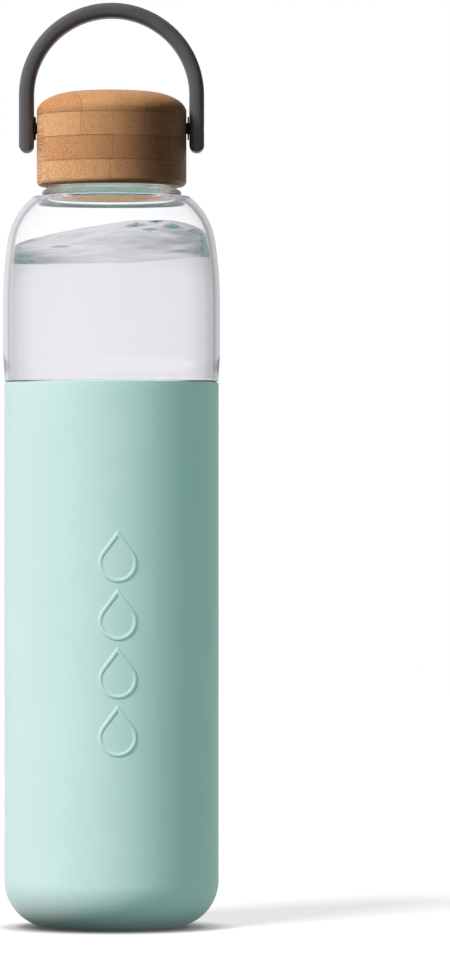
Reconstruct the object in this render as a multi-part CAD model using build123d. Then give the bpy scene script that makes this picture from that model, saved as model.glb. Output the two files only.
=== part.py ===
from build123d import *
import os
from math import cos, radians, sin, sqrt

# Reusable glass water bottle: a screw-necked glass bottle in a silicone sleeve, with a laminated bamboo
# cap and a swinging carry handle.
# Frame: origin at the centre of the base, +Z up, X along the handle's pivot axis. Millimetres.

os.makedirs("parts", exist_ok=True)

# Clearances
SLEEVE_GAP = 0.2         # radial gap between the glass and the sleeve it slides out of
GLUE_GAP = 0.1           # radial gap of a glued or pressed joint inside one body
PIVOT_GAP = 0.05         # radial running clearance of the handle on its screws
CUT = 1.0                # how far a cutting solid runs past the face that it cuts
WELD = 0.5               # how far two solids that become one run into each other

# Silicone sleeve
SLEEVE_R = 37.5
SLEEVE_TOP = 190.3
SLEEVE_WALL = 1.8
SLEEVE_FLOOR = 2.0
SLEEVE_CORNER = 16.5     # outer radius of the rounded base corner
SLEEVE_EDGE = 0.6        # wall at the top edge, where the sleeve thins out to lie flush with the glass
SLEEVE_LIP = 0.25        # rounding of the top edge
VENT_R = 6.0             # hole in the base that lets air in when the sleeve is pulled off

# Raised drop motif on the front of the sleeve
MOTIF_COUNT = 4
MOTIF_PITCH = 20.0
MOTIF_CENTRE_Z = 99.7
MOTIF_TURN = 4.4         # degrees that the sleeve sits turned from the handle's plane
MOTIF_RELIEF = 0.3
DROP_R = 6.6
DROP_TIP = 11.0          # from the round's centre to the tip
DROP_LINE = 1.1

# Glass bottle
GLASS_R = 37.9           # above the sleeve, just proud of it
GLASS_LOWER_R = SLEEVE_R - SLEEVE_WALL - SLEEVE_GAP
GLASS_WALL = 2.3
GLASS_LOWER_WALL = 2.8
GLASS_BASE = 9.0         # thickness of the base
GLASS_BASE_Z = SLEEVE_FLOOR + 0.3
PUNT_R = 18.0            # hollow pressed into the underside
PUNT_DEPTH = 2.0
PUNT_MID_SHARE = 0.75    # of its depth that the punt still has at half its radius
WAIST_R = SLEEVE_R - SLEEVE_EDGE - SLEEVE_GAP
WAIST_H = 30.0           # height below the sleeve's top over which the glass narrows
WAIST_LOW_Z = SLEEVE_TOP - WAIST_H
WAIST_IN_HIGH_Z = 195.0  # where the inside of the wall starts to narrow
WAIST_IN_LOW_Z = WAIST_IN_HIGH_Z - WAIST_H
LEDGE_GAP = 0.25         # between the sleeve's top edge and the small ledge that stops it
LEDGE_R = 37.45
LEDGE_H = 0.9
SWELL_H = 9.0            # height over which the wall eases from the ledge out to its full radius
UPPER_ARC_Z = 219.0      # where the straight wall starts to curve in
UPPER_ARC_R = 135.0
UPPER_ARC_DEG = 9.1
SHOULDER_R = 24.0
SHOULDER_DEG = 52.0      # where the shoulder meets the neck's bead
SHOULDER_IN_DEG = 72.0   # where the inside of the shoulder starts to blend into the bore
BORE_BLEND_H = 4.0       # height of that blend
BEAD_R = 24.4
BEAD_H = 2.4
COLLAR_R = 22.8
COLLAR_TOP = 260.3
COLLAR_CONE_H = 1.0      # cone from the collar up to the neck
NECK_R = 19.6
NECK_BORE_R = 17.2
RIM_Z = 272.4
RIM_ROUND = 1.0

# Screw thread of the neck and the cap
THREAD_PITCH = 4.0
THREAD_TIP_R = 21.1      # outside of the glass thread
THREAD_FIRST_Z = 263.6
THREAD_TURNS = 1.5
NUT_THREAD_TIP_R = 20.1  # inside of the cap's thread
NUT_THREAD_TURNS = 1.25
RIB_ROOT = 1.9           # height of a thread rib at its root
RIB_TIP = 1.1
RIB_BED = 0.4            # depth that a rib is sunk into its wall

# Bamboo cap, four plies glued face to face
CAP_R = 26.2
CAP_BOTTOM = 259.0
PLY_H = 8.3
PLY_COUNT = 4
CAP_TOP = CAP_BOTTOM + PLY_COUNT * PLY_H
CAP_LOWER_ROUND = 2.0
CAP_CROWN_W = 14.6       # the top edge is a quarter ellipse this wide
CAP_CROWN_H = 7.2        # and this high

# Threaded plastic insert and its seal
INSERT_R = 23.1
INSERT_WALL = 1.5
INSERT_BOTTOM = 260.8
INSERT_CEILING = 274.0
INSERT_TOP = 275.5
PLUG_R = 16.5
PLUG_WALL = 1.6
PLUG_BOTTOM = 271.7
GASKET_R = 20.9
GASKET_BORE_R = 16.85
GASKET_BOTTOM = RIM_Z + 0.05

# Carry handle
PIVOT_Z = 279.4
HANDLE_IN_R = 27.2
HANDLE_THICK = 5.2
HANDLE_DEPTH = 10.0
HANDLE_EDGE = 2.3        # rounding along its edges
ARCH_Z = 290.9           # where the arms end and the round arch begins
ARM_BOTTOM = 271.0

# Pivot screws, washers and brass inserts
SHANK_R = 2.0
SCREW_HEAD_R = 3.0
SCREW_HEAD_H = 1.7
HEX_FLATS = 2.5
HEX_DEPTH = 1.1
HEAD_POCKET_R = 3.2
HEAD_POCKET_DEPTH = 2.1
SCREW_THREAD_R = 1.5
SCREW_THREAD_LENGTH = 5.2
WASHER_R = 4.1
WASHER_THICK = 0.55
WASHER_FACE_GAP = 0.1
BRASS_R = 2.4
BRASS_LENGTH = 6.0
BRASS_SINK = 0.4         # how far the brass insert sits below the cap's side
HEAD_SEAT_GAP = 0.1      # between a screw's head and the floor of its pocket


def save(shape, node):
    shape.label = node
    export_step(shape, f"parts/{node}.step")


def lathe(*edges):
    """Turns a closed outline in the XZ plane into a solid about Z."""
    return revolve(make_face(Wire(list(edges))), Axis.Z)


def cylinder_between(radius, low, high):
    return Pos(0, 0, (low + high) / 2) * Cylinder(radius, high - low)


def at_angle(centre, radius, degrees):
    """Point of a circle in the XZ plane, measured up from +X."""
    return (centre[0] + radius * cos(radians(degrees)), 0, centre[1] + radius * sin(radians(degrees)))


def thread_rib(wall_r, tip_r, first_z, turns):
    """A right-hand helical rib that grows from a wall of radius wall_r to tip_r."""
    outward = 1 if tip_r > wall_r else -1
    bed_r = wall_r - outward * RIB_BED
    path = Pos(0, 0, first_z) * Helix(THREAD_PITCH, THREAD_PITCH * turns, wall_r)
    section = make_face(
        Polyline(
            (bed_r, 0, first_z - RIB_ROOT / 2),
            (wall_r, 0, first_z - RIB_ROOT / 2),
            (tip_r, 0, first_z - RIB_TIP / 2),
            (tip_r, 0, first_z + RIB_TIP / 2),
            (wall_r, 0, first_z + RIB_ROOT / 2),
            (bed_r, 0, first_z + RIB_ROOT / 2),
            close=True,
        )
    )
    return sweep(section, path=path, is_frenet=True)


def silicone_sleeve():
    corner = (SLEEVE_R - SLEEVE_CORNER, SLEEVE_CORNER)
    lip = (SLEEVE_R - SLEEVE_LIP, SLEEVE_TOP - SLEEVE_LIP)
    block = lathe(
        Line((VENT_R, 0, 0), at_angle(corner, SLEEVE_CORNER, -90)),
        ThreePointArc(*(at_angle(corner, SLEEVE_CORNER, a) for a in (-90, -45, 0))),
        Line(at_angle(corner, SLEEVE_CORNER, 0), at_angle(lip, SLEEVE_LIP, 0)),
        ThreePointArc(*(at_angle(lip, SLEEVE_LIP, a) for a in (0, 45, 90))),
        Line(at_angle(lip, SLEEVE_LIP, 90), (VENT_R, 0, SLEEVE_TOP)),
        Line((VENT_R, 0, SLEEVE_TOP), (VENT_R, 0, 0)),
    )
    shell = block - sleeve_core()
    skin_mid = SLEEVE_R - SLEEVE_WALL / 2
    skin = cylinder_between(SLEEVE_R + MOTIF_RELIEF, 0, SLEEVE_TOP) - cylinder_between(skin_mid, 0, SLEEVE_TOP)
    for i in range(MOTIF_COUNT):
        z = MOTIF_CENTRE_Z + (i - (MOTIF_COUNT - 1) / 2) * MOTIF_PITCH
        prism = Pos(0, 0, z) * Rot(90, 0, 0) * extrude(drop_outline(), SLEEVE_R + CUT)
        shell += Rot(0, 0, MOTIF_TURN) * (skin & prism)
    return shell


def sleeve_core():
    """The room inside the sleeve: the glass bottle's outside, grown by the sliding gap."""
    inner_r = GLASS_LOWER_R + SLEEVE_GAP
    edge_r = WAIST_R + SLEEVE_GAP
    round_r = SLEEVE_CORNER - SLEEVE_WALL
    inner = (inner_r - round_r, SLEEVE_FLOOR + round_r)
    return lathe(
        Line((0, 0, SLEEVE_FLOOR), at_angle(inner, round_r, -90)),
        ThreePointArc(*(at_angle(inner, round_r, a) for a in (-90, -45, 0))),
        Line(at_angle(inner, round_r, 0), (inner_r, 0, WAIST_LOW_Z)),
        waist(inner_r, WAIST_LOW_Z, edge_r, SLEEVE_TOP),
        Line((edge_r, 0, SLEEVE_TOP), (edge_r, 0, SLEEVE_TOP + CUT)),
        Line((edge_r, 0, SLEEVE_TOP + CUT), (0, 0, SLEEVE_TOP + CUT)),
        Line((0, 0, SLEEVE_TOP + CUT), (0, 0, SLEEVE_FLOOR)),
    )


def waist(from_r, from_z, to_r, to_z):
    """An S-shaped run of wall, upright at both ends."""
    upright = (0, 0, 1 if to_z > from_z else -1)
    return Spline((from_r, 0, from_z), (to_r, 0, to_z), tangents=[upright, upright])


def drop_outline():
    """Outline of a falling drop as a flat ring, centred on its own height."""
    def drop(r, tip):
        touch_y = r * r / tip
        touch_x = sqrt(r * r - touch_y * touch_y)
        edge = Wire([
            ThreePointArc((-touch_x, touch_y), (0, -r), (touch_x, touch_y)),
            Line((touch_x, touch_y), (0, tip)),
            Line((0, tip), (-touch_x, touch_y)),
        ])
        return make_face(edge)
    slope = DROP_TIP / DROP_R
    ring = drop(DROP_R, DROP_TIP) - drop(DROP_R - DROP_LINE, DROP_TIP - DROP_LINE * slope)
    return Pos(0, (DROP_R - DROP_TIP) / 2) * ring


def glass_bottle():
    lower_in_r = GLASS_LOWER_R - GLASS_LOWER_WALL
    upper_in_r = GLASS_R - GLASS_WALL
    corner_r = SLEEVE_CORNER - SLEEVE_WALL - SLEEVE_GAP
    corner = (GLASS_LOWER_R - corner_r, GLASS_BASE_Z + corner_r)
    floor_z = GLASS_BASE_Z + GLASS_BASE
    ledge_z = SLEEVE_TOP + LEDGE_GAP
    swell_z = ledge_z + LEDGE_H + SWELL_H
    in_corner_r = corner_r - GLASS_LOWER_WALL
    in_corner = (lower_in_r - in_corner_r, floor_z + in_corner_r)
    arc1 = (GLASS_R - UPPER_ARC_R, UPPER_ARC_Z)
    arc1_end = at_angle(arc1, UPPER_ARC_R, UPPER_ARC_DEG)
    arc2 = (arc1_end[0] - SHOULDER_R * cos(radians(UPPER_ARC_DEG)),
            arc1_end[2] - SHOULDER_R * sin(radians(UPPER_ARC_DEG)))
    shoulder_deg = (UPPER_ARC_DEG, (UPPER_ARC_DEG + SHOULDER_DEG) / 2, SHOULDER_DEG)
    shoulder_top = at_angle(arc2, SHOULDER_R, SHOULDER_DEG)
    bead_z = shoulder_top[2] + BEAD_H / 2
    bead_low = (BEAD_R - BEAD_H / 2, 0, shoulder_top[2])
    bead_high = (BEAD_R - BEAD_H / 2, 0, shoulder_top[2] + BEAD_H)
    rim_out = (NECK_R - RIM_ROUND, RIM_Z - RIM_ROUND)
    rim_in = (NECK_BORE_R + RIM_ROUND, RIM_Z - RIM_ROUND)
    outside = [
        ThreePointArc((0, 0, GLASS_BASE_Z + PUNT_DEPTH),
                      (PUNT_R / 2, 0, GLASS_BASE_Z + PUNT_DEPTH * PUNT_MID_SHARE),
                      (PUNT_R, 0, GLASS_BASE_Z)),
        Line((PUNT_R, 0, GLASS_BASE_Z), at_angle(corner, corner_r, -90)),
        ThreePointArc(*(at_angle(corner, corner_r, a) for a in (-90, -45, 0))),
        Line(at_angle(corner, corner_r, 0), (GLASS_LOWER_R, 0, WAIST_LOW_Z)),
        waist(GLASS_LOWER_R, WAIST_LOW_Z, WAIST_R, SLEEVE_TOP),
        Line((WAIST_R, 0, SLEEVE_TOP), (WAIST_R, 0, ledge_z)),
        Spline((WAIST_R, 0, ledge_z), (LEDGE_R, 0, ledge_z + LEDGE_H), tangents=[(1, 0, 0), (0, 0, 1)]),
        waist(LEDGE_R, ledge_z + LEDGE_H, GLASS_R, swell_z),
        Line((GLASS_R, 0, swell_z), (GLASS_R, 0, UPPER_ARC_Z)),
        ThreePointArc(*(at_angle(arc1, UPPER_ARC_R, a) for a in (0, UPPER_ARC_DEG / 2, UPPER_ARC_DEG))),
        ThreePointArc(*(at_angle(arc2, SHOULDER_R, a) for a in shoulder_deg)),
        Line(shoulder_top, bead_low),
        ThreePointArc(bead_low, (BEAD_R, 0, bead_z), bead_high),
        Line(bead_high, (COLLAR_R, 0, bead_high[2])),
        Line((COLLAR_R, 0, bead_high[2]), (COLLAR_R, 0, COLLAR_TOP)),
        Line((COLLAR_R, 0, COLLAR_TOP), (NECK_R, 0, COLLAR_TOP + COLLAR_CONE_H)),
        Line((NECK_R, 0, COLLAR_TOP + COLLAR_CONE_H), at_angle(rim_out, RIM_ROUND, 0)),
        ThreePointArc(*(at_angle(rim_out, RIM_ROUND, a) for a in (0, 45, 90))),
        Line(at_angle(rim_out, RIM_ROUND, 90), at_angle(rim_in, RIM_ROUND, 90)),
    ]
    in_shoulder_r = SHOULDER_R - GLASS_WALL
    in_top = at_angle(arc2, in_shoulder_r, SHOULDER_IN_DEG)
    bore_end = (NECK_BORE_R, 0, in_top[2] + BORE_BLEND_H)
    in_top_run = (sin(radians(SHOULDER_IN_DEG)), 0, -cos(radians(SHOULDER_IN_DEG)))
    shoulder_in_deg = (SHOULDER_IN_DEG, (SHOULDER_IN_DEG + UPPER_ARC_DEG) / 2, UPPER_ARC_DEG)
    inside = [
        ThreePointArc(*(at_angle(rim_in, RIM_ROUND, a) for a in (90, 135, 180))),
        Line(at_angle(rim_in, RIM_ROUND, 180), bore_end),
        Spline(bore_end, in_top, tangents=[(0, 0, -1), in_top_run]),
        ThreePointArc(*(at_angle(arc2, in_shoulder_r, a) for a in shoulder_in_deg)),
        ThreePointArc(*(at_angle(arc1, UPPER_ARC_R - GLASS_WALL, a)
                        for a in (UPPER_ARC_DEG, UPPER_ARC_DEG / 2, 0))),
        Line((upper_in_r, 0, UPPER_ARC_Z), (upper_in_r, 0, WAIST_IN_HIGH_Z)),
        waist(upper_in_r, WAIST_IN_HIGH_Z, lower_in_r, WAIST_IN_LOW_Z),
        Line((lower_in_r, 0, WAIST_IN_LOW_Z), at_angle(in_corner, in_corner_r, 0)),
        ThreePointArc(*(at_angle(in_corner, in_corner_r, a) for a in (0, -45, -90))),
        Line(at_angle(in_corner, in_corner_r, -90), (0, 0, floor_z)),
        Line((0, 0, floor_z), (0, 0, GLASS_BASE_Z + PUNT_DEPTH)),
    ]
    body = lathe(*outside, *inside)
    return body + thread_rib(NECK_R, THREAD_TIP_R, THREAD_FIRST_Z, THREAD_TURNS)


def cap_blank():
    """The whole bamboo block before its holes, turned to its rounded outline."""
    lower = (CAP_R - CAP_LOWER_ROUND, CAP_BOTTOM + CAP_LOWER_ROUND)
    crown = (CAP_R - CAP_CROWN_W, CAP_TOP - CAP_CROWN_H)

    def crown_point(degrees):
        return (crown[0] + CAP_CROWN_W * cos(radians(degrees)), 0,
                crown[1] + CAP_CROWN_H * sin(radians(degrees)))
    return lathe(
        Line((0, 0, CAP_BOTTOM), at_angle(lower, CAP_LOWER_ROUND, -90)),
        ThreePointArc(*(at_angle(lower, CAP_LOWER_ROUND, a) for a in (-90, -45, 0))),
        Line(at_angle(lower, CAP_LOWER_ROUND, 0), crown_point(0)),
        Spline(*(crown_point(a) for a in range(0, 91, 15)), tangents=[(0, 0, 1), (-1, 0, 0)]),
        Line(crown_point(90), (0, 0, CAP_TOP)),
        Line((0, 0, CAP_TOP), (0, 0, CAP_BOTTOM)),
    )


def bamboo_ply(index):
    """One ply of the cap, counted from the bottom. The lower two are rings, and the third is drilled."""
    low = CAP_BOTTOM + index * PLY_H
    ply = cap_blank() & cylinder_between(CAP_R + CUT, low, low + PLY_H)
    ply -= cylinder_between(INSERT_R + GLUE_GAP, CAP_BOTTOM - CUT, INSERT_TOP + GLUE_GAP)
    bore_r = BRASS_R + GLUE_GAP / 2
    for side in (-1, 1):
        ply -= along_x(cylinder_between(bore_r, CAP_R - BRASS_SINK - BRASS_LENGTH, CAP_R + CUT), side)
    return ply


def threaded_insert():
    body = cylinder_between(INSERT_R, INSERT_BOTTOM, INSERT_TOP)
    body -= cylinder_between(INSERT_R - INSERT_WALL, INSERT_BOTTOM - CUT, INSERT_CEILING)
    plug = cylinder_between(PLUG_R, PLUG_BOTTOM, INSERT_CEILING + WELD)
    plug -= cylinder_between(PLUG_R - PLUG_WALL, PLUG_BOTTOM - CUT, INSERT_CEILING)
    first_z = THREAD_FIRST_Z + THREAD_PITCH / 2
    return body + plug + thread_rib(INSERT_R - INSERT_WALL, NUT_THREAD_TIP_R, first_z, NUT_THREAD_TURNS)


def sealing_gasket():
    ring = cylinder_between(GASKET_R, GASKET_BOTTOM, INSERT_CEILING)
    return ring - cylinder_between(GASKET_BORE_R, GASKET_BOTTOM - CUT, INSERT_CEILING + CUT)


def carry_handle():
    mid_r = HANDLE_IN_R + HANDLE_THICK / 2
    arm_low = ARM_BOTTOM + HANDLE_THICK / 2
    centre_line = Wire([
        Line((-mid_r, 0, arm_low), (-mid_r, 0, ARCH_Z)),
        ThreePointArc((-mid_r, 0, ARCH_Z), (0, 0, ARCH_Z + mid_r), (mid_r, 0, ARCH_Z)),
        Line((mid_r, 0, ARCH_Z), (mid_r, 0, arm_low)),
    ])
    section = Plane((-mid_r, 0, arm_low), z_dir=(0, 0, 1)) * handle_section()
    handle = sweep(section, path=centre_line)
    outer_x = HANDLE_IN_R + HANDLE_THICK
    for side in (-1, 1):
        foot = Pos(side * mid_r, 0, ARM_BOTTOM) * extrude(handle_section(), HANDLE_THICK / 2)
        dome = Pos(side * mid_r, 0, arm_low) * Rot(90, 0, 0) * Cylinder(HANDLE_THICK / 2, HANDLE_DEPTH)
        handle += foot & dome
        handle -= along_x(cylinder_between(SHANK_R + PIVOT_GAP, HANDLE_IN_R - CUT, outer_x + CUT), side)
        handle -= along_x(cylinder_between(HEAD_POCKET_R, outer_x - HEAD_POCKET_DEPTH, outer_x + CUT), side)
    return handle


def handle_section():
    return RectangleRounded(HANDLE_THICK, HANDLE_DEPTH, HANDLE_EDGE)


def along_x(solid, side):
    """Stands a solid built along +Z on the pivot axis, pointing outwards on the given side."""
    return Pos(0, 0, PIVOT_Z) * Rot(0, 90 * side, 0) * solid


def pivot_screw(side):
    head_low = HANDLE_IN_R + HANDLE_THICK - HEAD_POCKET_DEPTH + HEAD_SEAT_GAP
    shank_low = CAP_R - BRASS_SINK
    screw = cylinder_between(SCREW_HEAD_R, head_low, head_low + SCREW_HEAD_H)
    screw += cylinder_between(SHANK_R, shank_low, head_low + WELD)
    screw += cylinder_between(SCREW_THREAD_R, shank_low - SCREW_THREAD_LENGTH, shank_low + WELD)
    socket = extrude(RegularPolygon(HEX_FLATS / 2, 6, major_radius=False), HEX_DEPTH + CUT)
    screw -= Pos(0, 0, head_low + SCREW_HEAD_H - HEX_DEPTH) * socket
    return along_x(screw, side)


def pivot_washer(side):
    face = HANDLE_IN_R - WASHER_FACE_GAP
    washer = cylinder_between(WASHER_R, face - WASHER_THICK, face)
    washer -= cylinder_between(SHANK_R + GLUE_GAP / 2, face - WASHER_THICK - CUT, face + CUT)
    return along_x(washer, side)


def brass_insert(side):
    top = CAP_R - BRASS_SINK
    brass = cylinder_between(BRASS_R, top - BRASS_LENGTH, top)
    brass -= cylinder_between(SCREW_THREAD_R + GLUE_GAP / 2, top - BRASS_LENGTH - CUT, top + CUT)
    return along_x(brass, side)


save(silicone_sleeve(), "silicone_sleeve")
save(glass_bottle(), "glass_bottle")
for ply_index in range(PLY_COUNT):
    save(bamboo_ply(ply_index), f"bamboo_ply_{ply_index + 1}")
save(threaded_insert(), "threaded_insert")
save(sealing_gasket(), "sealing_gasket")
save(carry_handle(), "carry_handle")
for side_name, side_sign in (("left", -1), ("right", 1)):
    save(pivot_screw(side_sign), f"pivot_screw_{side_name}")
    save(pivot_washer(side_sign), f"pivot_washer_{side_name}")
    save(brass_insert(side_sign), f"brass_insert_{side_name}")
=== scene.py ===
"""Looks of a glass water bottle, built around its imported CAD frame.

Metres, +Z up, -Y towards the camera.
"""

from math import cos, exp, hypot, pi, radians, sin, sqrt

import bmesh
import bpy
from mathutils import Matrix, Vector, noise


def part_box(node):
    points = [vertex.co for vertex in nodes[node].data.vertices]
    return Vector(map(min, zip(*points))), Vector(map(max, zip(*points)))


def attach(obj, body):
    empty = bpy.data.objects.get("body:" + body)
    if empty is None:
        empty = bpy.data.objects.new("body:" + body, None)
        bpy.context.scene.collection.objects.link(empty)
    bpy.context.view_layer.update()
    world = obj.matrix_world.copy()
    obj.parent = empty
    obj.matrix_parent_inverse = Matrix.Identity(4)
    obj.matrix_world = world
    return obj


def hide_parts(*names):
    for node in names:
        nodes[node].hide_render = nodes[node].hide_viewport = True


MM = 0.001
TURN = 2 * pi
FRONT = 1.5 * pi               # angle about +Z of the side towards the camera
ON_AXIS = 1e-7                 # a radius below this counts as 0

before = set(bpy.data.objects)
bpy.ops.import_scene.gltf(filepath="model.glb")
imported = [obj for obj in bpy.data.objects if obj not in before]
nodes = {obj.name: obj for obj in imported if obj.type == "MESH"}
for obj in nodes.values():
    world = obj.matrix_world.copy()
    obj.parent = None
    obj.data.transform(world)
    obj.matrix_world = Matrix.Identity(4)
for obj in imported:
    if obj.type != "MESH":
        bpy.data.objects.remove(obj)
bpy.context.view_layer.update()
sleeve_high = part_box("silicone_sleeve")[1]
glass_low, glass_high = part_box("glass_bottle")
cap_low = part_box("bamboo_ply_1")[0]
cap_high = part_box("bamboo_ply_4")[1]


# ---------------------------------------------------------------- mesh helpers

def new_object(name, verts, faces, sharp_deg=30.0):
    """A smooth-shaded mesh object that keeps edges sharper than sharp_deg."""
    mesh = bpy.data.meshes.new(name)
    mesh.from_pydata(verts, [], faces)
    mesh.validate()
    bm = bmesh.new()
    bm.from_mesh(mesh)
    bmesh.ops.recalc_face_normals(bm, faces=bm.faces)
    bm.to_mesh(mesh)
    bm.free()
    mesh.polygons.foreach_set("use_smooth", [True] * len(mesh.polygons))
    mesh.set_sharp_from_angle(angle=radians(sharp_deg))
    obj = bpy.data.objects.new(name, mesh)
    bpy.context.scene.collection.objects.link(obj)
    return obj


def arc(centre, radius, start_deg, end_deg, steps):
    """Points of an arc in the (r, z) plane, angles measured up from +r."""
    points = []
    for i in range(steps + 1):
        a = radians(start_deg + (end_deg - start_deg) * i / steps)
        points.append((centre[0] + radius * cos(a), centre[1] + radius * sin(a)))
    return points


def line(start, end, steps=1):
    """Evenly spaced points after start, up to and including end."""
    return [(start[0] + (end[0] - start[0]) * i / steps,
             start[1] + (end[1] - start[1]) * i / steps) for i in range(1, steps + 1)]


def smooth_step(t):
    """Goes from 0 to 1 with t, level at both ends."""
    t = min(1.0, max(0.0, t))
    return t * t * (3 - 2 * t)


def ease(start, end, steps):
    """An S-shaped run from start to end, vertical at both ends."""
    return [(start[0] + (end[0] - start[0]) * smooth_step(i / steps),
             start[1] + (end[1] - start[1]) * i / steps) for i in range(1, steps + 1)]


def even_angles(count):
    return [TURN * j / count for j in range(count)]


def lathe(name, profile, angles, shift=None, sharp_deg=30.0):
    """Turns (r, z) points about Z. A point with r = 0 becomes one vertex, and the outline closes on itself
    where both of its ends are off the axis. shift(r, z, angle) is added to r.
    """
    count = len(angles)
    verts, rings = [], []
    for r, z in profile:
        if r < ON_AXIS:
            rings.append([len(verts)] * count)
            verts.append((0, 0, z))
            continue
        rings.append(list(range(len(verts), len(verts) + count)))
        for a in angles:
            rr = r + (shift(r, z, a) if shift else 0)
            verts.append((rr * cos(a), rr * sin(a), z))
    faces = []
    pairs = list(zip(rings, rings[1:]))
    if profile[0][0] > 0 and profile[-1][0] > 0:
        pairs.append((rings[-1], rings[0]))
    for low, high in pairs:
        for j in range(count):
            k = (j + 1) % count
            face = []
            for v in (low[j], low[k], high[k], high[j]):
                if v not in face:
                    face.append(v)
            if len(face) > 2:
                faces.append(face)
    return new_object(name, verts, faces, sharp_deg)


# ---------------------------------------------------------------- material helpers

def grey(value):
    return (value, value, value)


class Nodes:
    """Short names for building a node tree."""

    def __init__(self, tree, coordinate):
        self.tree = tree
        self.place = self.add("ShaderNodeTexCoord").outputs[coordinate]

    def add(self, kind, **settings):
        node = self.tree.nodes.new(kind)
        for key, value in settings.items():
            setattr(node, key, value)
        return node

    def link(self, source, target):
        self.tree.links.new(source, target)

    def mapped(self, scale=(1, 1, 1), rotation=(0, 0, 0), location=(0, 0, 0)):
        node = self.add("ShaderNodeMapping")
        node.inputs["Scale"].default_value = scale
        node.inputs["Rotation"].default_value = rotation
        node.inputs["Location"].default_value = location
        self.link(self.place, node.inputs["Vector"])
        return node.outputs["Vector"]

    def noise(self, scale, detail=3.0, roughness=0.5, vector=None):
        node = self.add("ShaderNodeTexNoise")
        node.inputs["Scale"].default_value = scale
        node.inputs["Detail"].default_value = detail
        node.inputs["Roughness"].default_value = roughness
        self.link(vector or self.place, node.inputs["Vector"])
        return node.outputs["Fac"]

    def cells(self, scale, vector, randomness):
        """Distance from the nearest of points scattered over the vector's X and Y."""
        node = self.add("ShaderNodeTexVoronoi", voronoi_dimensions="2D")
        node.inputs["Scale"].default_value = scale
        node.inputs["Randomness"].default_value = randomness
        self.link(vector, node.inputs["Vector"])
        return node.outputs["Distance"]

    def ramp(self, source, stops, interpolation="LINEAR"):
        node = self.add("ShaderNodeValToRGB")
        node.color_ramp.interpolation = interpolation
        elements = node.color_ramp.elements
        while len(elements) < len(stops):
            elements.new(0.5)
        for element, (position, colour) in zip(elements, stops):
            element.position = position
            element.color = (*colour, 1)
        self.link(source, node.inputs["Fac"])
        return node.outputs["Color"]

    def mottle(self, source, colours):
        """Blends two colours by a noise, which stays mostly between 0.3 and 0.7."""
        return self.ramp(source, [(0.3, colours[0]), (0.7, colours[1])])

    def range(self, source, low, high, from_low=0.0, from_high=1.0):
        node = self.add("ShaderNodeMapRange")
        node.inputs["From Min"].default_value = from_low
        node.inputs["From Max"].default_value = from_high
        node.inputs["To Min"].default_value = low
        node.inputs["To Max"].default_value = high
        self.link(source, node.inputs["Value"])
        return node.outputs["Result"]

    def mix(self, fac, a, b, mode="MIX"):
        """Mixes two colours. Each of the three may be a number or colour, or a socket."""
        node = self.add("ShaderNodeMix", data_type="RGBA", blend_type=mode)
        for index, value in ((0, fac), (6, a), (7, b)):
            if hasattr(value, "is_linked"):
                self.link(value, node.inputs[index])
            elif index:
                node.inputs[index].default_value = (*value, 1)
            else:
                node.inputs[index].default_value = value
        return node.outputs[2]

    def math(self, operation, a, b=0.0):
        node = self.add("ShaderNodeMath", operation=operation)
        for index, value in enumerate((a, b)):
            if isinstance(value, (int, float)):
                node.inputs[index].default_value = value
            else:
                self.link(value, node.inputs[index])
        return node.outputs[0]

    def axis(self, vector, name):
        node = self.add("ShaderNodeSeparateXYZ")
        self.link(vector, node.inputs[0])
        return node.outputs[name]


class Shader(Nodes):
    """A material under construction: its node tree and its Principled shader."""

    def __init__(self, name, **constants):
        self.material = bpy.data.materials.new(name)
        self.material.use_nodes = True
        super().__init__(self.material.node_tree, "Object")
        self.shader = self.tree.nodes["Principled BSDF"]
        for key, value in constants.items():
            self.shader.inputs[key.replace("_", " ")].default_value = value

    def colour(self, source):
        self.link(source, self.shader.inputs["Base Color"])

    def rough(self, source):
        self.link(source, self.shader.inputs["Roughness"])

    def bump(self, height, distance, strength, chain=None):
        """Adds a bump, on top of another one where chain is given."""
        node = self.add("ShaderNodeBump")
        node.inputs["Distance"].default_value = distance
        node.inputs["Strength"].default_value = strength
        self.link(height, node.inputs["Height"])
        if chain is not None:
            self.link(chain, node.inputs["Normal"])
        self.link(node.outputs["Normal"], self.shader.inputs["Normal"])
        return node.outputs["Normal"]


# Each pair is the darker and the lighter colour of a mottled surface
SILICONE = ((0.290, 0.600, 0.520), (0.310, 0.625, 0.545))
GLASS = ((0.985, 0.990, 0.992), (0.995, 0.998, 1.0))
WATER = ((0.780, 0.775, 0.802), (0.790, 0.785, 0.812))
HANDLE_PLASTIC = ((0.082, 0.083, 0.088), (0.095, 0.096, 0.101))
INSERT_PLASTIC = ((0.60, 0.68, 0.64), (0.66, 0.74, 0.70))
SEAL_RUBBER = ((0.42, 0.62, 0.54), (0.46, 0.66, 0.58))
NYLON = ((0.004, 0.004, 0.005), (0.008, 0.008, 0.009))
STEEL = ((0.010, 0.010, 0.011), (0.020, 0.020, 0.021))
BRASS = ((0.55, 0.38, 0.14), (0.76, 0.56, 0.26))
GLASS_IOR = 1.5
WATER_IOR = 1.333


def silicone_material():
    s = Shader("mint_silicone", Roughness=0.55, IOR=1.75, Sheen_Weight=0.12, Sheen_Roughness=0.45)
    s.colour(s.mottle(s.noise(28, 4, 0.6), SILICONE))
    s.rough(s.range(s.noise(160, 3), 0.50, 0.60))
    fine = s.bump(s.noise(2600, 2, 0.6), 0.06 * MM, 0.5)
    s.bump(s.noise(55, 2), 0.4 * MM, 0.12, chain=fine)
    return s.material


def glass_material():
    s = Shader("clear_glass", Roughness=0.0, IOR=GLASS_IOR, Transmission_Weight=1.0)
    s.colour(s.mottle(s.noise(12, 2), GLASS))
    s.bump(s.noise(38, 1.5, 0.4), 0.2 * MM, 0.12)
    return s.material


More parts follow.
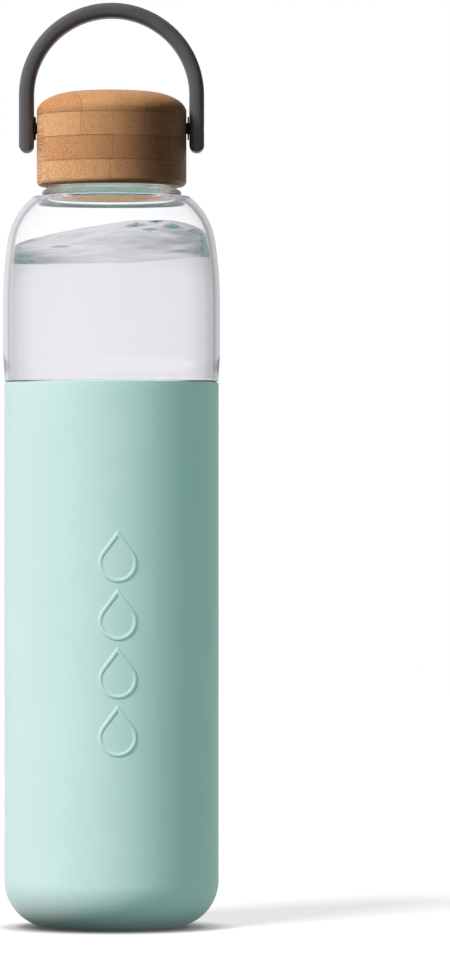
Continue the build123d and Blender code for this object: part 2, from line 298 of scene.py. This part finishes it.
def water_material():
    s = Shader("water", Roughness=0.0, IOR=WATER_IOR, Transmission_Weight=1.0)
    s.colour(s.mottle(s.noise(20, 2), WATER))
    return s.material


FIBRE_TURN = radians(-16)      # the fibres run level, this far round from the front
STRIP_W = 21.6 * MM            # width of the bamboo strips that make up one ply
STRIP_OFFSET = (0.34, 0.30, 0.76, 0.74)    # where the strips begin in each ply, as a share of a strip
BUNDLE_W = 0.62 * MM           # spacing of the fibre bundles
BUNDLE_RANDOM = 0.75
SEAM_STAIN = 0.4 * MM          # how far the glue line darkens a ply's edge
# Factors on a ply's tone
STRIP_DARK = (0.86, 0.78, 0.72)
STRIP_LIGHT = (1.06, 1.10, 1.14)
FIBRE_DARK = (0.72, 0.58, 0.48)
BUNDLE_DARK = (0.36, 0.22, 0.15)
GLUE_DARK = (0.40, 0.28, 0.22)


def tinted(colour, factors):
    return tuple(c * f for c, f in zip(colour, factors))


def bamboo_material(index, tone, low, high):
    """One ply of bamboo, from height low to high: strips of slightly different tone, full of dark bundles."""
    s = Shader(f"bamboo_{index}", Roughness=0.5, IOR=1.45, Specular_IOR_Level=0.3)
    across = s.mapped(rotation=(pi / 2, -FIBRE_TURN, 0), location=(0.1 * index, 0.05 * index, 0))
    strips = s.axis(s.mapped(rotation=(0, 0, FIBRE_TURN)), "X")
    place = s.math("ADD", s.math("DIVIDE", strips, STRIP_W), STRIP_OFFSET[index - 1])
    pick = s.add("ShaderNodeTexWhiteNoise", noise_dimensions="1D")
    s.link(s.math("ADD", s.math("FLOOR", place), 3.7 * index), pick.inputs["W"])
    joint = s.math("PINGPONG", place, 0.5)
    bundles = s.ramp(s.cells(1 / BUNDLE_W, across, BUNDLE_RANDOM), [(0.10, grey(1)), (0.36, grey(0))])
    density = s.range(s.noise(110, 2, 0.5, across), 0.45, 1, 0.3, 0.6)
    dots = s.math("MULTIPLY", bundles, density)
    fibres = s.noise(500, 3, 0.6, s.mapped(scale=(1, 0.03, 1), rotation=(0, 0, FIBRE_TURN)))
    base = s.ramp(pick.outputs["Value"], [(0.1, tinted(tone, STRIP_DARK)), (0.5, tone),
                                          (0.9, tinted(tone, STRIP_LIGHT))])
    base = s.mix(s.range(fibres, 0, 0.35, 0.45, 0.75), base, tinted(tone, FIBRE_DARK))
    base = s.mix(s.math("MULTIPLY", dots, 0.80), base, tinted(tone, BUNDLE_DARK))
    base = s.mix(s.range(joint, 0.5, 0, 0, 0.012), base, tinted(tone, GLUE_DARK))
    height = s.axis(s.place, "Z")
    edge = s.math("MINIMUM", s.math("SUBTRACT", height, low), s.math("SUBTRACT", high, height))
    base = s.mix(s.range(edge, 0.5, 0, 0, SEAM_STAIN), base, tinted(tone, GLUE_DARK))
    s.colour(base)
    s.rough(s.range(dots, 0.44, 0.62))
    s.bump(s.math("SUBTRACT", s.math("MULTIPLY", fibres, 0.4), dots), 0.1 * MM, 0.6)
    return s.material


def handle_material():
    s = Shader("grey_soft_plastic", Roughness=0.5, IOR=1.46, Sheen_Weight=0.15, Sheen_Roughness=0.5)
    s.colour(s.mottle(s.noise(90, 3), HANDLE_PLASTIC))
    s.rough(s.range(s.noise(300, 3), 0.44, 0.56))
    s.bump(s.noise(3000, 2, 0.6), 0.05 * MM, 0.6)
    return s.material


def plastic_material(name, colours, roughness, gloss=0.5):
    s = Shader(name, Roughness=roughness, IOR=1.46, Specular_IOR_Level=gloss)
    s.colour(s.mottle(s.noise(120, 3), colours))
    s.rough(s.range(s.noise(400, 2), roughness - 0.05, roughness + 0.07))
    s.bump(s.noise(2200, 2), 0.04 * MM, 0.4)
    return s.material


def metal_material(name, colours, roughness):
    s = Shader(name, Roughness=roughness, Metallic=1.0)
    turned = s.noise(900, 2, 0.6, s.mapped(scale=(0.2, 1, 1)))
    s.colour(s.mottle(turned, colours))
    s.rough(s.range(turned, roughness - 0.08, roughness + 0.1))
    s.bump(turned, 0.02 * MM, 0.3)
    return s.material


def paint(obj, material):
    obj.data.materials.clear()
    obj.data.materials.append(material)


# ---------------------------------------------------------------- silicone sleeve

SLEEVE_CORNER = 16.5 * MM
SLEEVE_WALL = 1.8 * MM
SLEEVE_FLOOR = 2.0 * MM
SLEEVE_EDGE = 0.6 * MM         # wall at the top edge
SLEEVE_LIP = 0.25 * MM         # rounding of the top edge
VENT_R = 6.0 * MM
VENT_CHAMFER = 0.25 * MM
WAIST_H = 30.0 * MM            # height over which sleeve and glass thin out towards the sleeve's top

MOTIF_COUNT = 4
MOTIF_PITCH = 20.0 * MM
MOTIF_CENTRE_Z = 99.7 * MM
MOTIF_ANGLE = FRONT + radians(4.4)
MOTIF_REACH = 0.3              # half the angle, in radians, outside which the skin is plain
MOTIF_FINE = 0.24              # half the angle over which the mesh is fine
MOTIF_MARGIN = 1.0 * MM        # the mesh is fine this far above and below the drops too
MOTIF_RELIEF = 0.3 * MM
DROP_R = 6.6 * MM
DROP_TIP = 11.0 * MM           # height of a drop's tip above the centre of its round part
DROP_LINE = 1.1 * MM           # width of the raised line
DROP_SOFT = 0.45 * MM          # width over which the raised line falls to the skin


def drop_distance(u, v):
    """Signed distance from a drop's outline, negative inside. u is sideways, v up from the round's centre."""
    touch_v = DROP_R * DROP_R / DROP_TIP
    side = abs(u)
    slope = sqrt(DROP_R ** 2 - touch_v ** 2), touch_v
    normal = (slope[0] / DROP_R, slope[1] / DROP_R)
    if side * slope[1] - v * slope[0] > 0 or v < 0:
        return hypot(side, v) - DROP_R
    return side * normal[0] + (v - DROP_TIP) * normal[1]


def motif_relief(r, z, angle):
    """How far the raised drops stand out of the sleeve's skin."""
    turn = angle - MOTIF_ANGLE
    if r < sleeve_high.x - 0.1 * MM or abs(turn) > MOTIF_REACH:
        return 0.0
    u = sleeve_high.x * sin(turn)
    middle = (MOTIF_COUNT - 1) / 2
    index = round((z - MOTIF_CENTRE_Z) / MOTIF_PITCH + middle)
    if not 0 <= index < MOTIF_COUNT:
        return 0.0
    v = z - MOTIF_CENTRE_Z - (index - middle) * MOTIF_PITCH - (DROP_R - DROP_TIP) / 2
    off_line = abs(drop_distance(u, v) + DROP_LINE / 2) - DROP_LINE / 2
    return MOTIF_RELIEF * (1 - smooth_step(off_line / DROP_SOFT + 0.5))


def build_sleeve():
    outer, top = sleeve_high.x, sleeve_high.z
    inner = outer - SLEEVE_WALL
    corner_in = SLEEVE_CORNER - SLEEVE_WALL
    motif_span = MOTIF_PITCH * MOTIF_COUNT / 2 + MOTIF_MARGIN
    profile = [(VENT_R, VENT_CHAMFER), (VENT_R + VENT_CHAMFER, 0)]
    profile += arc((outer - SLEEVE_CORNER, SLEEVE_CORNER), SLEEVE_CORNER, -90, 0, 28)
    profile += line(profile[-1], (outer, MOTIF_CENTRE_Z - motif_span), 8)
    profile += line(profile[-1], (outer, MOTIF_CENTRE_Z + motif_span), 410)
    profile += line(profile[-1], (outer, top - SLEEVE_LIP), 12)
    profile += arc((outer - SLEEVE_LIP, top - SLEEVE_LIP), SLEEVE_LIP, 0, 90, 6)[1:]
    profile += [(outer - SLEEVE_EDGE, top)]
    profile += ease(profile[-1], (inner, top - WAIST_H), 24)
    profile += arc((inner - corner_in, SLEEVE_FLOOR + corner_in), corner_in, 0, -90, 20)
    profile += [(VENT_R, SLEEVE_FLOOR)]
    fine, coarse = 110, 150
    angles = [MOTIF_ANGLE - MOTIF_FINE + 2 * MOTIF_FINE * j / fine for j in range(fine)]
    angles += [MOTIF_ANGLE + MOTIF_FINE + (TURN - 2 * MOTIF_FINE) * j / coarse for j in range(coarse)]
    obj = lathe("sleeve_skin", profile, angles, shift=motif_relief)
    paint(obj, silicone_material())
    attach(obj, "sleeve")
    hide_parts("silicone_sleeve")
    return obj


# ---------------------------------------------------------------- glass bottle

GLASS_WALL = 2.3 * MM
GLASS_LOWER_R = 35.5 * MM
GLASS_LOWER_WALL = 2.8 * MM
GLASS_BASE = 9.0 * MM
GLASS_CORNER = 14.5 * MM
PUNT_R = 18.0 * MM
PUNT_DEPTH = 2.0 * MM
WAIST_R = 36.7 * MM
WAIST_IN_HIGH_Z = 195.0 * MM   # where the inner wall starts to narrow, going down
LEDGE_GAP = 0.25 * MM          # between the sleeve's top and the glass ledge over it
LEDGE_R = 37.45 * MM
LEDGE_H = 0.9 * MM
LEDGE_SWELL_H = 9.0 * MM       # height over which the glass swells out above the ledge
UPPER_ARC_Z = 219.0 * MM       # the body starts to curve in here, gently at first
UPPER_ARC_R = 135.0 * MM
UPPER_ARC_DEG = 9.1
SHOULDER_R = 24.0 * MM
SHOULDER_DEG = 52.0
SHOULDER_IN_DEG = 72.0
BEAD_R = 24.4 * MM
BEAD_H = 2.4 * MM
COLLAR_R = 22.8 * MM
COLLAR_TOP = 260.3 * MM
COLLAR_CHAMFER = 0.3 * MM
NECK_R = 19.6 * MM
NECK_BORE_R = 17.2 * MM
NECK_FOOT_H = 1.0 * MM
NECK_BEND_H = 4.0 * MM         # height of the bend from the shoulder's inside into the bore
NECK_BEND_CORNER = 1.2 * MM    # height at which that bend's two directions meet
RIM_ROUND = 1.0 * MM
THREAD_PITCH = 4.0 * MM
THREAD_TIP_R = 21.1 * MM
THREAD_FIRST_Z = 263.6 * MM
THREAD_TURNS = 1.5
THREAD_RUN_OUT = 0.06          # turns over which the thread rises at each end
THREAD_INSET = 0.02 * MM       # how far the rib's crest stays inside its nominal radius
RIB_ROOT = 1.9 * MM
RIB_TIP = 1.1 * MM

glass_r = glass_high.x
shoulder_arc1 = (glass_r - UPPER_ARC_R, UPPER_ARC_Z)
shoulder_arc2 = tuple(p - SHOULDER_R * q for p, q in zip(
    arc(shoulder_arc1, UPPER_ARC_R, 0, UPPER_ARC_DEG, 1)[1],
    (cos(radians(UPPER_ARC_DEG)), sin(radians(UPPER_ARC_DEG)))))
ledge_z = sleeve_high.z + LEDGE_GAP


def thread_relief(r, z, angle):
    """Height of the helical rib on the neck, with its two ends run out."""
    if abs(r - NECK_R) > 0.01 * MM or z < COLLAR_TOP:
        return 0.0
    height = 0.0
    for turn in range(-1, 3):
        along = angle / TURN + turn
        off = abs(z - (THREAD_FIRST_Z + THREAD_PITCH * along))
        rib = 1 - (off - RIB_TIP / 2) / ((RIB_ROOT - RIB_TIP) / 2)
        ends = min(smooth_step(along / THREAD_RUN_OUT),
                   smooth_step((THREAD_TURNS - along) / THREAD_RUN_OUT))
        height = max(height, smooth_step(rib) * ends)
    return height * (THREAD_TIP_R - NECK_R - THREAD_INSET)


def glass_inside():
    """The cavity's outline from the rim down to the middle of its floor."""
    lower_r = GLASS_LOWER_R - GLASS_LOWER_WALL
    corner_r = GLASS_CORNER - GLASS_LOWER_WALL
    floor_z = glass_low.z + GLASS_BASE
    in_top = arc(shoulder_arc2, SHOULDER_R - GLASS_WALL, SHOULDER_IN_DEG, 0, 1)[0]
    points = arc((NECK_BORE_R + RIM_ROUND, glass_high.z - RIM_ROUND), RIM_ROUND, 90, 180, 6)
    bend_top = (NECK_BORE_R, in_top[1] + NECK_BEND_H)
    points += line(points[-1], bend_top, 6)
    bend_corner = (NECK_BORE_R, in_top[1] + NECK_BEND_CORNER)
    for i in range(1, 11):
        t = i / 10
        points.append(tuple((1 - t) ** 2 * p + 2 * t * (1 - t) * q + t * t * s
                            for p, q, s in zip(bend_top, bend_corner, in_top)))
    points += arc(shoulder_arc2, SHOULDER_R - GLASS_WALL, SHOULDER_IN_DEG, UPPER_ARC_DEG, 40)[1:]
    points += arc(shoulder_arc1, UPPER_ARC_R - GLASS_WALL, UPPER_ARC_DEG, 0, 12)[1:]
    points += line(points[-1], (glass_r - GLASS_WALL, WAIST_IN_HIGH_Z), 4)
    points += ease(points[-1], (lower_r, WAIST_IN_HIGH_Z - WAIST_H), 24)
    points += line(points[-1], (lower_r, floor_z + corner_r), 6)
    points += arc((lower_r - corner_r, floor_z + corner_r), corner_r, 0, -90, 20)[1:]
    points += [(lower_r / 4, floor_z), (0, floor_z)]
    return points


def glass_outside():
    """The outer outline from the middle of the punt up to the rim."""
    punt_arc = (PUNT_R ** 2 + PUNT_DEPTH ** 2) / (2 * PUNT_DEPTH)
    points = []
    for i in range(13):
        r = PUNT_R * i / 12
        points.append((r, glass_low.z + PUNT_DEPTH - punt_arc + sqrt(punt_arc ** 2 - r * r)))
    corner = (GLASS_LOWER_R - GLASS_CORNER, glass_low.z + GLASS_CORNER)
    points += arc(corner, GLASS_CORNER, -90, 0, 20)
    points += line(points[-1], (GLASS_LOWER_R, sleeve_high.z - WAIST_H), 6)
    points += ease(points[-1], (WAIST_R, sleeve_high.z), 24)
    points += [(WAIST_R, ledge_z)]
    for i in range(1, 9):
        a = i / 8 * pi / 2
        points.append((WAIST_R + (LEDGE_R - WAIST_R) * sin(a), ledge_z + LEDGE_H * (1 - cos(a))))
    points += ease(points[-1], (glass_r, ledge_z + LEDGE_H + LEDGE_SWELL_H), 10)
    points += line(points[-1], (glass_r, UPPER_ARC_Z), 4)
    points += arc(shoulder_arc1, UPPER_ARC_R, 0, UPPER_ARC_DEG, 12)[1:]
    points += arc(shoulder_arc2, SHOULDER_R, UPPER_ARC_DEG, SHOULDER_DEG, 32)[1:]
    top = points[-1]
    points += arc((BEAD_R - BEAD_H / 2, top[1] + BEAD_H / 2), BEAD_H / 2, -80, 80, 14)
    points += [(COLLAR_R, top[1] + BEAD_H), (COLLAR_R, COLLAR_TOP - COLLAR_CHAMFER),
               (COLLAR_R - COLLAR_CHAMFER, COLLAR_TOP), (NECK_R, COLLAR_TOP + NECK_FOOT_H)]
    points += line(points[-1], (NECK_R, glass_high.z - RIM_ROUND), 56)
    points += arc((NECK_R - RIM_ROUND, glass_high.z - RIM_ROUND), RIM_ROUND, 0, 90, 6)[1:]
    return points


def build_glass():
    profile = glass_outside() + glass_inside()
    obj = lathe("glass_body", profile, even_angles(256), shift=thread_relief, sharp_deg=50)
    paint(obj, glass_material())
    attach(obj, "bottle")
    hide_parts("glass_bottle")


# ---------------------------------------------------------------- water

WATER_LEVEL = 238.2 * MM
WATER_TILT = (1.8 * MM, -6.9 * MM)    # rise towards +x and towards +y, over the bottle's radius
WATER_GAP = 0.15 * MM                 # between the water and the glass
SWELL = 1.3 * MM
SWELL_WAVE = 0.9                      # half waves of the swell over the bottle's radius
RIPPLES = ((60, 0.7), (130, 0.26), (280, 0.09))    # fineness, and height in millimetres
RIPPLE_STRETCH = 0.7                  # the ripples are longer than wide by this
# x, y, radius and height of small whirls, in millimetres
WHIRLS = ((-13, 4, 2.6, 0.7), (8, -20, 3.2, 0.9), (15, -24, 2.4, -0.8), (19, -14, 2.8, 0.8),
          (-29, -4, 2.2, 0.6), (11, -9, 2.0, -0.5), (26, -8, 2.4, 0.7))
WHIRL_WAVE = 2.2
WATER_SEGMENTS = 240
WATER_ROWS = 90                       # rings of vertices up the wall
WATER_RINGS = 90                      # rings of vertices over the surface
LEVEL_STEPS = 12                      # rounds in which the surface's edge settles on the curved wall


def water_surface(x, y):
    """Height of the sloshing surface: tilted up to the front and right, with a swell, ripples and whirls."""
    span = glass_r - GLASS_WALL
    height = WATER_LEVEL + WATER_TILT[0] * x / span + WATER_TILT[1] * y / span
    height += SWELL * sin(SWELL_WAVE * pi * x / span) * smooth_step(0.5 - y / span)
    for scale, ripple in RIPPLES:
        height += ripple * MM * noise.noise(Vector((x * scale, y * scale * RIPPLE_STRETCH, scale)))
    for whirl_x, whirl_y, radius, whirl_height in WHIRLS:
        off = hypot(x / MM - whirl_x, y / MM - whirl_y) / radius
        height += whirl_height * MM * sin(WHIRL_WAVE * off) * exp(-off * off)
    return height


def build_water():
    """The water fills the glass but for a thin gap, in rings up the wall and then in over the surface."""
    wall = sorted(((z, r - WATER_GAP) for r, z in glass_inside() if r > 0), key=lambda p: p[0])

    def wall_r(z):
        for (z0, r0), (z1, r1) in zip(wall, wall[1:]):
            if z0 <= z <= z1 and z1 > z0:
                return r0 + (r1 - r0) * (z - z0) / (z1 - z0)
        return wall[-1][1]

    floor_z = glass_low.z + GLASS_BASE + WATER_GAP
    angles = even_angles(WATER_SEGMENTS)
    verts, grid, edge = [], [], []
    for a in angles:
        z = WATER_LEVEL
        for _ in range(LEVEL_STEPS):
            r = wall_r(z)
            z = water_surface(r * cos(a), r * sin(a))
        edge.append((wall_r(z), z))
    for i in range(WATER_ROWS + 1):
        t = (i / WATER_ROWS) ** 0.5
        ring = []
        for a, (r_top, z_top) in zip(angles, edge):
            z = floor_z + (z_top - floor_z) * t
            if i == 0:
                r = wall[0][1]
            elif i == WATER_ROWS:
                r = r_top
            else:
                r = wall_r(max(z, wall[0][0]))
            ring.append(len(verts))
            verts.append((r * cos(a), r * sin(a), z))
        grid.append(ring)
    for i in range(1, WATER_RINGS):
        share = 1 - i / WATER_RINGS
        ring = []
        for a, (r_top, _) in zip(angles, edge):
            x, y = r_top * share * cos(a), r_top * share * sin(a)
            ring.append(len(verts))
            verts.append((x, y, water_surface(x, y)))
        grid.append(ring)
    top = len(verts)
    verts.append((0, 0, water_surface(0, 0)))
    bottom = len(verts)
    verts.append((0, 0, floor_z))
    faces = []
    for low, high in zip(grid, grid[1:]):
        for j in range(WATER_SEGMENTS):
            k = (j + 1) % WATER_SEGMENTS
            faces.append((low[j], low[k], high[k], high[j]))
    for j in range(WATER_SEGMENTS):
        k = (j + 1) % WATER_SEGMENTS
        faces.append((grid[-1][j], grid[-1][k], top))
        faces.append((grid[0][k], grid[0][j], bottom))
    obj = new_object("water", verts, faces, 50)
    paint(obj, water_material())
    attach(obj, "bottle")


# ---------------------------------------------------------------- bamboo cap

CAP_LOWER_ROUND = 2.0 * MM
CAP_CROWN_W = 14.6 * MM
CAP_CROWN_H = 7.2 * MM
CAP_BORE_R = 23.2 * MM
CAP_BORE_TOP = 275.6 * MM
SEAM = 0.10 * MM               # the plies' edges are eased by this much where they meet
PLY_COUNT = 4
PLY_STEPS = 40
PLY_TONES = ((0.62, 0.335, 0.150), (0.55, 0.270, 0.120), (0.64, 0.350, 0.160), (0.58, 0.295, 0.128))


def cap_outline(z):
    """Radius of the turned cap at a height."""
    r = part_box("bamboo_ply_2")[1].x
    if z < cap_low.z + CAP_LOWER_ROUND:
        drop = cap_low.z + CAP_LOWER_ROUND - z
        return r - CAP_LOWER_ROUND + sqrt(max(0, CAP_LOWER_ROUND ** 2 - drop ** 2))
    if z > cap_high.z - CAP_CROWN_H:
        rise = (z - cap_high.z + CAP_CROWN_H) / CAP_CROWN_H
        return r - CAP_CROWN_W * (1 - sqrt(max(0, 1 - rise * rise)))
    return r


def crowded(index, t):
    """Crowds a ply's points where it is rounded: the top ply's upwards, the lowest one's downwards."""
    if index == PLY_COUNT:
        return 1 - (1 - t) ** 2
    return t * t if index == 1 else t


def build_ply(index):
    node = f"bamboo_ply_{index}"
    low, high = (corner.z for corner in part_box(node))
    outline = []
    for i in range(PLY_STEPS + 1):
        z = low + (high - low) * crowded(index, i / PLY_STEPS)
        outline.append((cap_outline(z), z))
    if index > 1:
        outline[0] = (outline[0][0] - SEAM, low)
        outline.insert(1, (outline[0][0] + SEAM, low + SEAM))
    if index < PLY_COUNT:
        outline[-1] = (outline[-1][0] - SEAM, high)
        outline.insert(-1, (outline[-1][0] + SEAM, high - SEAM))
    inner = CAP_BORE_R if high <= CAP_BORE_TOP + 0.2 * MM else 0
    profile = [(inner, low)] + outline + [(inner, high)]
    obj = lathe(f"{node}_wood", profile, even_angles(192), sharp_deg=35)
    paint(obj, bamboo_material(index, PLY_TONES[index - 1], low, high))
    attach(obj, "cap")
    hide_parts(node)


# ---------------------------------------------------------------- small CAD parts

def dress_cad():
    steel = metal_material("black_steel", STEEL, 0.4)
    brass = metal_material("knurled_brass", BRASS, 0.35)
    nylon = plastic_material("black_nylon", NYLON, 0.6, gloss=0.1)
    insert = plastic_material("pale_plastic", INSERT_PLASTIC, 0.4)
    seal = plastic_material("mint_seal", SEAL_RUBBER, 0.45)
    for side in ("left", "right"):
        paint(nodes[f"pivot_screw_{side}"], steel)
        paint(nodes[f"brass_insert_{side}"], brass)
        paint(nodes[f"pivot_washer_{side}"], nylon)
    paint(nodes["threaded_insert"], insert)
    paint(nodes["sealing_gasket"], seal)
    paint(nodes["carry_handle"], handle_material())


# ---------------------------------------------------------------- camera, light and floor

IMAGE_LONG = 953               # long side of the picture and focal length, in pixels
FOCAL_PX = 6000
SENSOR = 36.0                  # millimetres, along the picture's long side
CAM_DISTANCE = 2.1
CAM_SIDE = 0.0397
CAM_HEIGHT = 0.1402
CAM_PITCH = 0.474              # degrees up from level


def build_camera():
    data = bpy.data.cameras.new("camera")
    data.sensor_width = SENSOR
    data.lens = SENSOR * FOCAL_PX / IMAGE_LONG
    cam = bpy.data.objects.new("camera", data)
    cam.location = (CAM_SIDE, -CAM_DISTANCE, CAM_HEIGHT)
    cam.rotation_euler = (radians(90 + CAM_PITCH), 0, 0)
    bpy.context.scene.collection.objects.link(cam)
    bpy.context.scene.camera = cam


# Brightness of the surroundings by direction. Places on an X ramp run from the left (0) to the right (1),
# on a Y ramp from the camera's side (0) to the far side (1), on a Z ramp from below (0) to above (1).
MATT_X = ((0.0, grey(0.45)), (0.5, grey(0.14)), (1.0, grey(0.035)))      # what matt surfaces get
MATT_Z = ((0.38, grey(0.2)), (0.52, grey(1.0)))
GLOSS_X = ((0.0, grey(0.95)), (0.35, grey(0.80)), (0.65, grey(0.40)), (1.0, grey(0.15)))    # what gloss mirrors
GLASS_X = ((0.0, grey(0.80)), (0.5, grey(0.72)), (1.0, grey(0.55)))      # what glass bends in from the sides
CARD_EDGE_Y = ((0.70, grey(0)), (0.78, grey(1)))                         # where the cards behind begin
CARD_FOOT_Z = ((0.475, grey(0.87)), (0.50, grey(1.0)))                   # a little less light below the horizon
# The card behind the bottle, as seen through both walls
BACK_CARD = ((0.740, (0.86, 0.86, 0.88)), (0.800, (0.66, 0.65, 0.69)), (0.835, (0.66, 0.65, 0.69)),
             (0.865, (0.86, 0.855, 0.89)), (0.900, (1.00, 1.00, 1.03)), (0.960, (1.13, 1.13, 1.14)))
# The card as seen through one wall only, at the bottle's edge, and its fall towards the right
WALL_CARD = ((0.890, (0.55, 0.54, 0.60)), (0.905, (0.42, 0.41, 0.47)), (0.925, (0.42, 0.41, 0.47)),
             (0.950, (0.68, 0.67, 0.71)), (1.0, (0.85, 0.85, 0.86)))
WALL_FALL_X = ((0.3, grey(1)), (0.7, grey(0.72)))
WALL_DEPTH = 2.5               # a ray that went through fewer surfaces than this crossed one wall only


def aim(lamp, place, target):
    lamp.location = place
    lamp.rotation_euler = (Vector(target) - Vector(place)).to_track_quat("-Z", "Y").to_euler()


def add_light(name, kind, energy, place, target, **settings):
    """A light whose own shape is never seen or mirrored."""
    data = bpy.data.lights.new(name, kind)
    data.energy = energy
    for key, value in settings.items():
        setattr(data, key, value)
    lamp = bpy.data.objects.new(name, data)
    aim(lamp, place, target)
    lamp.visible_camera = False
    lamp.visible_transmission = False
    lamp.visible_glossy = False
    bpy.context.scene.collection.objects.link(lamp)
    return lamp


def light_only(lamp, receivers, blockers=None):
    """Lets a light fall on the given objects only, and lets only the blockers, if given, shadow it."""
    for role, objects in (("receiver", receivers), ("blocker", blockers)):
        if objects:
            group = bpy.data.collections.new(f"{lamp.name}_{role}s")
            for obj in objects:
                group.objects.link(obj)
            setattr(lamp.light_linking, f"{role}_collection", group)


def build_world():
    """White to the camera, a soft studio to matt surfaces, bright and dark cards to gloss and glass."""
    world = bpy.data.worlds.new("studio")
    bpy.context.scene.world = world
    world.use_nodes = True
    world.node_tree.nodes.clear()
    n = Nodes(world.node_tree, "Generated")
    x, y, z = (n.range(n.axis(n.place, name), 0, 1, -1, 1) for name in "XYZ")
    soft = n.mix(1.0, n.ramp(x, MATT_X, "EASE"), n.ramp(z, MATT_Z, "EASE"), "MULTIPLY")
    side = n.ramp(x, GLOSS_X, "EASE")
    through = n.mix(n.ramp(y, CARD_EDGE_Y), n.ramp(x, GLASS_X, "EASE"), n.ramp(y, BACK_CARD, "EASE"))
    wall = n.mix(1.0, n.ramp(y, WALL_CARD, "EASE"), n.ramp(x, WALL_FALL_X), "MULTIPLY")
    path = n.add("ShaderNodeLightPath").outputs
    through = n.mix(n.math("LESS_THAN", path["Transmission Depth"], WALL_DEPTH), through, wall)
    cards = n.mix(path["Is Transmission Ray"], side, through)
    cards = n.mix(1.0, cards, n.ramp(z, CARD_FOOT_Z, "EASE"), "MULTIPLY")
    seen = n.mix(path["Is Diffuse Ray"], cards, soft)
    seen = n.mix(path["Is Camera Ray"], seen, grey(1.0))
    shade = n.add("ShaderNodeBackground")
    n.link(seen, shade.inputs["Color"])
    n.link(shade.outputs[0], n.add("ShaderNodeOutputWorld").inputs["Surface"])


FLOOR_HALF = 3.0
FLOOR_DROP = 0.05 * MM         # how far the floor lies under the base
FLOOR_GLOW = 0.74
FLOOR_GREY = (grey(0.27), grey(0.28))
# Painted contact shadow: the share of the floor's colour and glow by the distance from the bottle's axis, as a
# part of CONTACT_SPAN;
# it is painted dark under the rounded base
CONTACT_SPAN = 50 * MM
PAINTED_CONTACT_SHADE = ((0.50, grey(0.12)), (0.60, grey(0.28)), (0.72, grey(0.58)), (0.80, grey(0.82)), (0.92, grey(1.0)))


def build_floor():
    """A floor that glows, so that its shadow stays light, with a painted contact shadow under the base. It
    throws no light up and isn't seen from below.
    """
    s = Shader("studio_floor", Roughness=0.9, Specular_IOR_Level=0.0, Emission_Strength=FLOOR_GLOW)
    away = s.math("POWER", s.math("ADD", s.math("POWER", s.axis(s.place, "X"), 2.0),
                                  s.math("POWER", s.axis(s.place, "Y"), 2.0)), 0.5)
    # Painted contact shadow: the floor's colour and glow are darkened near the bottle's axis
    share = s.ramp(s.math("DIVIDE", away, CONTACT_SPAN), PAINTED_CONTACT_SHADE, "EASE")
    s.colour(s.mix(1.0, share, s.mottle(s.noise(3, 2), FLOOR_GREY), "MULTIPLY"))
    s.link(share, s.shader.inputs["Emission Color"])
    seen_from_below = s.add("ShaderNodeNewGeometry").outputs["Backfacing"]
    sides = s.add("ShaderNodeMixShader")
    s.link(seen_from_below, sides.inputs[0])
    s.link(s.shader.outputs[0], sides.inputs[1])
    s.link(s.add("ShaderNodeBsdfTransparent").outputs[0], sides.inputs[2])
    s.link(sides.outputs[0], s.material.node_tree.get_output_node("ALL").inputs["Surface"])
    corners = ((-1, -1), (1, -1), (1, 1), (-1, 1))
    verts = [(x * FLOOR_HALF, y * FLOOR_HALF, -FLOOR_DROP) for x, y in corners]
    floor = new_object("floor", verts, [(0, 1, 2, 3)])
    floor.visible_diffuse = False
    floor.visible_transmission = False
    paint(floor, s.material)
    return floor


WHITE = (1.0, 1.0, 1.0)
ORIGIN = (0, 0, 0)
STRAIGHT_UP = (0, 0, 1)
# Suns by name: strength, where from, width in degrees, colour
SUNS = {
    "back_fill": (1.5, (0.5, 1.4, 0.5), 60, WHITE),
    "key": (4.2, (-1.32, -0.76, 1.25), 22, WHITE),
    "floor_key": (4.8, (-0.60, -0.80, 1.30), 18, WHITE),
    "sleeve_key": (7.4, (-1.23, -0.88, 1.25), 22, (1.0, 0.605, 0.690)),
}
CARD_POWER = 15
CARD_SIZE = 0.8
CARD_PLACE = (1.2, -1.2, 0.2)
CARD_TARGET = (0, 0, 0.1)
GLOW_COUNT = 5
GLOW_POWER = 0.020             # watts of each lamp that lights the translucent sleeve from inside
NECK_GLOW_POWER = 0.022        # watts of the lamp for the cap's inside, which no direct light reaches
NECK_GLOW_PLACE = (0, 0, 0.246)


def build_studio(sleeve):
    scene = bpy.context.scene
    scene.view_settings.view_transform = "Standard"
    scene.cycles.max_bounces = 24
    scene.cycles.transmission_bounces = 20
    scene.cycles.glossy_bounces = 20
    scene.cycles.transparent_max_bounces = 16
    build_world()
    floor = build_floor()
    others = [obj for obj in scene.objects if obj.type == "MESH" and obj not in (sleeve, floor)]
    wood = [obj for obj in others if obj.name.endswith("_wood")]
    cap_inside = [obj for obj in others if obj.name in ("threaded_insert", "sealing_gasket")]
    lit = {"back_fill": others + [sleeve], "key": others, "floor_key": [floor], "sleeve_key": [sleeve]}
    for name, (strength, place, width, colour) in SUNS.items():
        sun = add_light(name, "SUN", strength, place, ORIGIN, angle=radians(width), color=colour)
        light_only(sun, lit[name])
    light_only(add_light("sleeve_card", "AREA", CARD_POWER, CARD_PLACE, CARD_TARGET, size=CARD_SIZE), [sleeve])
    for i in range(GLOW_COUNT):
        place = (0, 0, sleeve_high.z * (i + 0.5) / GLOW_COUNT)
        light_only(add_light(f"glow_{i}", "POINT", GLOW_POWER, place, STRAIGHT_UP), [sleeve], [sleeve])
    # The floor is its only blocker, so that nothing near it shadows it
    neck_glow = add_light("neck_glow", "POINT", NECK_GLOW_POWER, NECK_GLOW_PLACE, STRAIGHT_UP)
    light_only(neck_glow, wood + cap_inside, [floor])


build_camera()
sleeve_skin = build_sleeve()
build_glass()
build_water()
for ply in range(1, PLY_COUNT + 1):
    build_ply(ply)
dress_cad()
build_studio(sleeve_skin)
